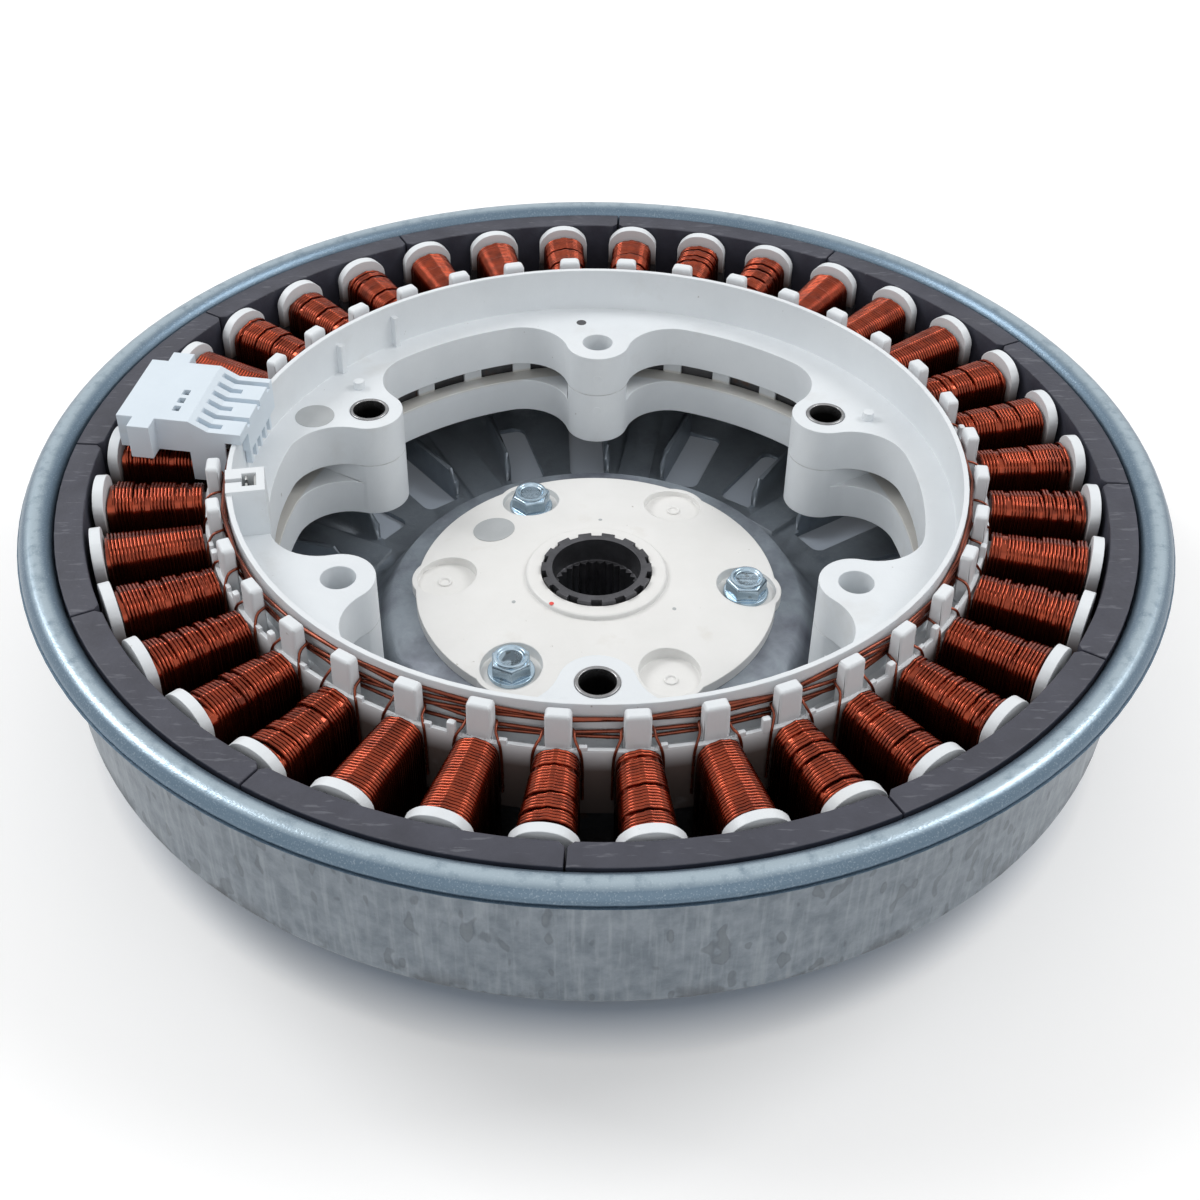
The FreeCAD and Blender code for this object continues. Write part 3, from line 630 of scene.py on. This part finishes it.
def softenHub(built):
    # the collar has a soft edge
    collar = sharpEdges(built, 40, lambda place: (
        place.z > hubShape["collarOver"]
        and abs(outDistance(place) - hubShape["collarRadius"]) < 0.3
    ))
    roundEdges(built, collar, hubShape["collarEdge"] * millimetre, 3)


headShape = {"topOver": 0.0245, "topEdge": 0.8}


def slopeHeads(built):
    # the hexagon's corners slope down from the crown
    corners = sharpEdges(built, 40, lambda place: place.z > headShape["topOver"])
    roundEdges(built, corners, headShape["topEdge"] * millimetre, 2)


dressedParts = {
    "statorCore": {"node": "stator_core", "body": "stator", "slot": "lamination", "edge": 0.12},
    "upperInsulator": {"node": "upper_insulator", "body": "stator",
                       "slot": "insulator_plastic", "edge": 0.2, "joinBeyond": 126,
                       "first": roundPosts},
    "lowerInsulator": {"node": "lower_insulator", "body": "stator",
                       "slot": "insulator_plastic", "edge": 0.2, "joinBeyond": 126},
    "boltSleeves": {"node": "bolt_sleeves", "body": "stator", "slot": "zinc_steel",
                    "edge": 0.3, "finish": "sleeveSteel"},
    "connectorHousing": {"node": "connector_housing", "body": "stator",
                         "slot": "connector_plastic", "edge": 0.2},
    "connectorPins": {"node": "connector_pins", "body": "stator", "slot": "tinned_metal",
                      "edge": 0.1},
    "clipContact": {"node": "clip_contact", "body": "stator", "slot": "contact_steel",
                    "edge": 0.08},
    "magnetRing": {"node": "magnets", "body": "rotor", "slot": "ferrite", "edge": 0.35},
    "hubDisc": {"node": "rotor_hub", "body": "rotor", "slot": "hub_plastic", "edge": 0.25,
                "first": softenHub},
    "splineBush": {"node": "spline_bush", "body": "rotor", "slot": "bush_steel", "edge": 0.15},
    "hubBolts": {"node": "hub_bolts", "body": "rotor", "slot": "zinc_steel", "edge": 0.2,
                 "first": slopeHeads},
}

for name, part in dressedParts.items():
    built = mergedCopy(part["node"], part.get("joinBeyond"))
    if "first" in part:
        part["first"](built)
    roundEdges(built, sharpEdges(built, 28), part["edge"] * millimetre, 2)
    finishPiece(built, name, part["body"], part["slot"], (part["node"],),
                finish=part.get("finish"), turnFaces=False)

rotorCup = {
    "rimOver": 0.060, "rimBeyond": 0.1395, "rimRadius": 1.5,
    "cornerUp": (0.015, 0.024), "cornerBeyond": 0.130, "cornerRadius": 2.4, "segments": 4,
}


def makeRotorCup():
    built = mergedCopy("rotor_frame")
    # the rolled rim's flats are rounded into one curve
    rim = sharpEdges(built, 8, lambda place: (
        place.z > rotorCup["rimOver"] and place.xy.length > rotorCup["rimBeyond"]
    ))
    roundEdges(built, rim, rotorCup["rimRadius"] * millimetre, rotorCup["segments"])
    # so is the corner between the wall and the step
    low, high = rotorCup["cornerUp"]
    corner = sharpEdges(built, 20, lambda place: (
        low < place.z < high and place.xy.length > rotorCup["cornerBeyond"]
    ))
    roundEdges(built, corner, rotorCup["cornerRadius"] * millimetre, rotorCup["segments"])
    return finishPiece(built, "rotorCup", "rotor", "galvanised_sheet", ("rotor_frame",),
                       turnFaces=False)


makeRotorCup()
print("rotor cup made")

winding = {
    "coils": 36, "firstAngle": 5.0, "startOut": 103.5, "endOut": 127.5,
    "halfWidth": 5.6, "outerWidening": 1.45, "outerRise": 1.0, "wire": 0.88,
    "pitch": 0.90, "cornerRadius": 4.0, "crown": 0.3, "cornerSteps": 5,
    "grooveGap": 0.38, "grooveDepth": 0.5, "groupLift": 0.3, "jitter": 0.02,
    "fillerInset": 0.9,
}


def turnOutline(halfWidth, low, high, radius):
    # one turn of wire as points across and up, round a tooth
    corners = (
        (halfWidth - radius, low + radius, -90), (halfWidth - radius, high - radius, 0),
        (-halfWidth + radius, high - radius, 90), (-halfWidth + radius, low + radius, 180),
    )
    points = []
    for across, up, start in corners:
        for step in range(winding["cornerSteps"] + 1):
            angle = math.radians(start + 90 * step / winding["cornerSteps"])
            points.append((across + radius * math.cos(angle), up + radius * math.sin(angle)))
        if start == 0:
            quarter = (halfWidth - radius) / 2
            arch = high + winding["crown"] * 0.75
            points += [(quarter, arch), (0.0, high + winding["crown"]), (-quarter, arch)]
    return points


def coilShare(out):
    # 0 at the coil's inner end and 1 at its end plate
    return (out - winding["startOut"]) / (winding["endOut"] - winding["startOut"])


def coilDegrees(index):
    return winding["firstAngle"] + 360 / winding["coils"] * index


def woundCurve(index, low, high):
    draw = random.Random(100 + index)
    radius = winding["wire"] / 2
    outline = turnOutline(
        winding["halfWidth"] - radius - winding["groupLift"], low + radius,
        high - radius - winding["crown"] - winding["groupLift"], winding["cornerRadius"],
    )
    angle = math.radians(coilDegrees(index))
    grouped = draw.random() < 0.75  # some coils are wound evenly, with no grooves
    out, lift, left, points = winding["startOut"], 0.0, draw.randint(2, 5), []
    while out < winding["endOut"] - winding["pitch"]:
        sunk, slant, step = 0.0, 0.0, winding["pitch"]
        if left == 0 and grouped:
            sunk, slant = winding["grooveDepth"], draw.uniform(-0.5, 0.5)
            step += winding["grooveGap"]
            lift = draw.uniform(-0.5, 1.0) * winding["groupLift"]
            left = draw.choice((3, 4, 5, 6, 8, 9))
        left -= 1
        raised = lift + draw.uniform(-winding["jitter"], winding["jitter"]) - sunk
        widening = winding["outerWidening"] * coilShare(out)
        for number, (across, up) in enumerate(outline):
            share = number / len(outline)
            onTop = up > high - 7
            place = out + step * share + (slant * across / winding["halfWidth"] if onTop else 0)
            side = across * (1 + (raised + widening) / winding["halfWidth"])
            rise = raised + winding["outerRise"] * coilShare(out) if onTop else 0
            points.append((
                (place * math.cos(angle) - side * math.sin(angle)) * millimetre,
                (place * math.sin(angle) + side * math.cos(angle)) * millimetre,
                (up + rise) * millimetre,
            ))
        out += step
    return points


def tubeMesh(name, lines, thickness, resolution=1):
    # wires given as lists of points become one mesh of round tubes
    curve = bpy.data.curves.new(name, "CURVE")
    curve.dimensions = "3D"
    curve.bevel_depth = thickness / 2 * millimetre
    curve.bevel_resolution = resolution
    curve.use_fill_caps = True
    for kind, points in lines:
        spline = curve.splines.new(kind)
        spline.points.add(len(points) - 1)
        for point, place in zip(spline.points, points):
            point.co = (*place, 1)
        if kind == "NURBS":
            spline.order_u = 3
            spline.use_endpoint_u = True
            spline.resolution_u = 4
    holder = bpy.data.objects.new(name, curve)
    mesh = bpy.data.meshes.new_from_object(holder)
    bpy.data.objects.remove(holder)
    bpy.data.curves.remove(curve)
    return mesh


def makeWinding(index):
    node = "coil_%02d" % (index + 1)
    lowest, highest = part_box(node)
    low, high = lowest.z / millimetre, highest.z / millimetre
    mesh = tubeMesh("coilWire", [("POLY", woundCurve(index, low, high))], winding["wire"])
    built = bmesh.new()
    built.from_mesh(mesh)
    bpy.data.meshes.remove(mesh)
    inset = winding["fillerInset"]
    size = (
        winding["endOut"] - winding["startOut"], 2 * (winding["halfWidth"] - inset),
        high - low - 2 * inset - winding["crown"],
    )
    angle = math.radians(coilDegrees(index))
    middle = (winding["startOut"] + winding["endOut"]) / 2
    place = (
        Matrix.Rotation(angle, 4, "Z")
        @ Matrix.Translation(Vector((middle, 0, (low + high - winding["crown"]) / 2)) * millimetre)
        @ Matrix.Diagonal(Vector((*size, 1 / millimetre)) * millimetre)
    )
    core = bmesh.ops.create_cube(built, size=1, matrix=place)["verts"]
    outwards = Vector((math.cos(angle), math.sin(angle), 0))
    sideways = Vector((-math.sin(angle), math.cos(angle), 0))
    for corner in core:
        if corner.co.dot(outwards) > middle * millimetre:
            side = math.copysign(winding["outerWidening"] * millimetre, corner.co.dot(sideways))
            corner.co += sideways * side
    longEdges = [
        edge for edge in {edge for vert in core for edge in vert.link_edges}
        if abs((edge.verts[0].co - edge.verts[1].co).normalized().dot(outwards)) > 0.9
    ]
    roundEdges(built, longEdges, (winding["cornerRadius"] - inset) * millimetre, 2)
    return finishPiece(
        built, "coilWinding_%02d" % (index + 1), "stator", "winding", (node,),
        smoothUnder=70, weighted=False,
    )


for index in range(winding["coils"]):
    makeWinding(index)
print("windings made")

leadWires = {
    "wire": 0.72, "beside": 3.5, "besideSpread": 0.2, "top": 61.4, "topSpread": (-1.2, 1.0),
}
crossovers = {
    "wire": 1.0, "count": 5, "steps": 36, "outLow": 96.95, "outHigh": 98.0,
    "upLow": 57.4, "upHigh": 64.0, "wander": 1.7,
}


def ringPlace(out, degrees, up, across=0.0):
    angle = math.radians(degrees)
    return (
        (out * math.cos(angle) - across * math.sin(angle)) * millimetre,
        (out * math.sin(angle) + across * math.cos(angle)) * millimetre,
        up * millimetre,
    )


def makeLeads():
    # each coil's two ends climb beside its post and go behind it to the crossover wires
    draw = random.Random(7)
    lines = []
    for index in range(winding["coils"]):
        degrees = coilDegrees(index)
        for side in (-1, 1):
            beside = side * (leadWires["beside"] + draw.uniform(0, leadWires["besideSpread"]))
            top = leadWires["top"] + draw.uniform(*leadWires["topSpread"])
            lines.append(("NURBS", [
                ringPlace(103.3, degrees, 44.0, side * 5.7),
                ringPlace(103.2, degrees, 52.0, side * 5.7),
                ringPlace(103.0, degrees, 57.0, side * 5.5),
                ringPlace(102.2, degrees, 59.4, beside + side * 1.0),
                ringPlace(101.0, degrees, top - 0.6, beside + side * 0.1),
                ringPlace(99.0, degrees, top, beside),
                ringPlace(98.0, degrees, top - 0.4, beside * 0.8),
                ringPlace(97.7, degrees, top - 0.9, beside * 0.1),
            ]))
    built = bmesh.new()
    built.from_mesh(tubeMesh("leadTube", lines, leadWires["wire"]))
    return finishPiece(built, "coilLeads", "stator", "winding", smoothUnder=70,
                       weighted=False, finish="leadWire")


def makeCrossovers():
    # the wires cross over one another a little between one post and the next
    draw = random.Random(11)
    lines = []
    for _ in range(crossovers["count"]):
        points = []
        level = draw.uniform(crossovers["upLow"], crossovers["upHigh"])
        for step in range(crossovers["steps"]):
            degrees = 360 * step / crossovers["steps"] + winding["firstAngle"]
            level += draw.uniform(-crossovers["wander"], crossovers["wander"])
            level = min(max(level, crossovers["upLow"]), crossovers["upHigh"])
            points.append(ringPlace(
                draw.uniform(crossovers["outLow"], crossovers["outHigh"]), degrees, level,
            ))
        points.append(points[0])
        lines.append(("POLY", points))
    built = bmesh.new()
    built.from_mesh(tubeMesh("crossoverTube", lines, crossovers["wire"]))
    return finishPiece(
        built, "crossoverWires", "stator", "winding", ("crossover_wires",),
        smoothUnder=70, weighted=False, finish="leadWire",
    )


makeLeads()
makeCrossovers()
print("leads and crossover wires made")

slotLedges = {
    "count": 36, "inner": 101.35, "outer": 102.45, "foot": 57.2,
    "block": (-4.6, -2.3, 59.3), "ledge": (-2.3, 3.9, 58.35), "hook": (1.6, 3.7, 61.6),
    "hookSlots": (20, 21, 22, 25, 29, 31, 32, 34, 1, 4, 7, 10, 13, 16),
    "edge": 0.2, "hookEdge": 0.55,
}


def addBlock(built, angle, outRange, acrossRange, upRange, edge):
    size = [pair[1] - pair[0] for pair in (outRange, acrossRange, upRange)]
    middle = [(pair[1] + pair[0]) / 2 for pair in (outRange, acrossRange, upRange)]
    place = (
        Matrix.Rotation(angle, 4, "Z")
        @ Matrix.Translation(Vector(middle) * millimetre)
        @ Matrix.Diagonal(Vector((*size, 1 / millimetre)) * millimetre)
    )
    corners = bmesh.ops.create_cube(built, size=1, matrix=place)["verts"]
    edges = list({line for corner in corners for line in corner.link_edges})
    if edge:
        roundEdges(built, edges, edge * millimetre, 2)


def makeSlotLedges():
    built = bmesh.new()
    depth = (slotLedges["inner"], slotLedges["outer"])
    for index in range(slotLedges["count"]):
        angle = math.radians(index * 360 / slotLedges["count"])
        for part in ("block", "ledge"):
            low, high, top = slotLedges[part]
            addBlock(built, angle, depth, (low, high), (slotLedges["foot"], top),
                     slotLedges["edge"])
        if index in slotLedges["hookSlots"]:
            low, high, top = slotLedges["hook"]
            addBlock(built, angle, (depth[0] - 0.3, depth[1] + 0.3), (low, high),
                     (slotLedges["foot"], top), slotLedges["hookEdge"])
    return finishPiece(built, "slotLedges", "stator", "insulator_plastic")


makeSlotLedges()

smallMarks = {
    "thickness": 0.14,
    "hubLabel": {"out": 37.0, "degrees": 143.3, "radius": 6.0, "up": 22.62, "tilt": 7.0},
    "flangeLabel": {"out": 86.9, "degrees": 157.0, "radius": 5.5, "up": 53.45, "tilt": 0.0},
}


def addDisc(built, radius, height, place, sides=32):
    made = bmesh.ops.create_cone(
        built, cap_ends=True, segments=sides, radius1=radius * millimetre,
        radius2=radius * millimetre, depth=height * millimetre, matrix=place,
    )
    return made["verts"]


def placeRound(out, degrees, up):
    turn = Matrix.Rotation(math.radians(degrees), 4, "Z")
    return turn @ Matrix.Translation(Vector((out, 0, up)) * millimetre)


def makeLabel(name, mark, body, slot):
    built = bmesh.new()
    lean = Matrix.Rotation(math.radians(mark["tilt"]), 4, "Y")
    place = placeRound(mark["out"], mark["degrees"], mark["up"])
    addDisc(built, mark["radius"], smallMarks["thickness"], place @ lean, 48)
    return finishPiece(built, name, body, slot, finish="greyLabel")


makeLabel("hubLabel", smallMarks["hubLabel"], "rotor", "hub_plastic")
makeLabel("flangeLabel", smallMarks["flangeLabel"], "stator", "insulator_plastic")


flangePins = {
    "degrees": (24.7, 144.7, 264.7), "out": 84.5, "middle": 54.6, "radius": 1.6, "height": 2.6,
    "edge": 0.3,
}


def makeFlangePins():
    # a locating pin stands beside each sleeved boss
    built = bmesh.new()
    for degrees in flangePins["degrees"]:
        place = placeRound(flangePins["out"], degrees, flangePins["middle"])
        addDisc(built, flangePins["radius"], flangePins["height"], place, 20)
    roundEdges(built, sharpEdges(built, 60), flangePins["edge"] * millimetre, 2)
    return finishPiece(built, "flangePins", "stator", "insulator_plastic")


makeFlangePins()

mouldedDetails = {
    "ribs": ((142.6, 62.6), (129.9, 63.2)),  # angle and top height, inside the ring wall
    "ribDepth": (93.0, 95.15), "ribHalfWidth": 0.85, "ribFoot": 53.3, "ribEdge": 0.3,
    "bars": {"out": (91.5, 92.6), "halfWidth": 2.85, "up": (34.0, 40.8), "edge": 0.2},
    "marks": ((90.0, 46.2), (90.0, 35.0)), "markOut": 65.55, "markRadius": 1.3,
    "hole": {"out": 86.5, "degrees": 93.3, "up": 53.4, "radius": 1.5},
}


def makeMouldedDetails():
    # ribs inside the ring wall, bars between the two halves, ejector marks on a boss
    built = bmesh.new()
    half = mouldedDetails["ribHalfWidth"]
    for degrees, top in mouldedDetails["ribs"]:
        addBlock(built, math.radians(degrees), mouldedDetails["ribDepth"], (-half, half),
                 (mouldedDetails["ribFoot"], top), mouldedDetails["ribEdge"])
    bars = mouldedDetails["bars"]
    for index in range(winding["coils"]):
        angle = math.radians(coilDegrees(index))
        addBlock(built, angle, bars["out"], (-bars["halfWidth"], bars["halfWidth"]),
                 bars["up"], bars["edge"])
    for degrees, up in mouldedDetails["marks"]:
        place = placeRound(mouldedDetails["markOut"], degrees, up)
        face = Matrix.Rotation(math.radians(90), 4, "Y")
        addDisc(built, mouldedDetails["markRadius"], 0.16, place @ face, 20)
    return finishPiece(built, "mouldedDetails", "stator", "insulator_plastic")


makeMouldedDetails()


# painted shade: a thin dark disc stands for the small hole's dark inside
def makeHoleShadeDisc():
    hole = mouldedDetails["hole"]
    built = bmesh.new()
    addDisc(built, hole["radius"], 0.1, placeRound(hole["out"], hole["degrees"], hole["up"]), 20)
    return finishPiece(built, "holeShadeDisc", "stator", "insulator_plastic", finish="lamination")


makeHoleShadeDisc()

boltCrowns = {
    "out": 41.9, "degrees": (-2.4, 117.6, 237.6), "top": 25.5, "radius": 4.6, "height": 1.0,
    "lip": 0.8, "dish": 0.7, "slope": 0.5, "edge": 0.22, "sides": 28,
}
pocketHoles = {
    "out": 42.6, "degrees": (57.6, 177.6, 297.6), "top": 19.9, "radius": 1.9, "height": 0.8,
    "lip": 0.5, "dish": 0.6, "slope": 0.25, "edge": 0.12, "sides": 20,
}


def makeDishedDiscs(name, setup, slot):
    # round lips with a dished middle
    built = bmesh.new()
    for degrees in setup["degrees"]:
        place = placeRound(setup["out"], degrees, setup["top"] - setup["height"] / 2)
        addDisc(built, setup["radius"], setup["height"], place, setup["sides"])
    tops = [face for face in built.faces if face.normal.z > 0.99]
    bmesh.ops.inset_individual(built, faces=tops, thickness=setup["lip"] * millimetre)
    bmesh.ops.inset_individual(built, faces=tops, thickness=setup["slope"] * millimetre,
                               depth=-setup["dish"] * millimetre)
    roundEdges(built, sharpEdges(built, 35), setup["edge"] * millimetre, 2)
    return finishPiece(built, name, "rotor", slot)


# each hexagon has a crown, and the hub's three free pockets a small hole with a raised ring
makeDishedDiscs("boltCrowns", boltCrowns, "zinc_steel")
makeDishedDiscs("pocketHoles", pocketHoles, "hub_plastic")

connectorRibs = {
    "degrees": 171.3, "out": (92.9, 94.7), "across": (-10.5, -6.5, -2.5, 1.5, 5.5),
    "width": 1.5, "up": (56.0, 66.4), "edge": 0.3,
}


def makeConnectorRibs():
    # upright ribs on the connector's inner side, down the ring wall
    built = bmesh.new()
    for across in connectorRibs["across"]:
        addBlock(built, math.radians(connectorRibs["degrees"]), connectorRibs["out"],
                 (across, across + connectorRibs["width"]), connectorRibs["up"],
                 connectorRibs["edge"])
    return finishPiece(built, "connectorRibs", "stator", "connector_plastic")


makeConnectorRibs()


hubDots = {
    "degrees": (87.5, -33.5, -152.6), "out": 25.5, "up": 23.97, "radius": 0.55, "lean": 7,
}
redDot = {"degrees": -130, "out": 19.0, "up": 25.93, "radius": 0.65}
dotThickness = 0.12


def makeHubDots():
    built = bmesh.new()
    lean = Matrix.Rotation(math.radians(hubDots["lean"]), 4, "Y")
    for degrees in hubDots["degrees"]:
        place = placeRound(hubDots["out"], degrees, hubDots["up"])
        addDisc(built, hubDots["radius"], dotThickness, place @ lean, 16)
    return finishPiece(built, "hubGateDots", "rotor", "hub_plastic", finish="greyLabel")


def makeRedDot():
    built = bmesh.new()
    place = placeRound(redDot["out"], redDot["degrees"], redDot["up"])
    addDisc(built, redDot["radius"], dotThickness, place, 16)
    return finishPiece(built, "paintDot", "rotor", "hub_plastic", finish="redPaint")


makeHubDots()
makeRedDot()
print("ledges, labels and small marks made")
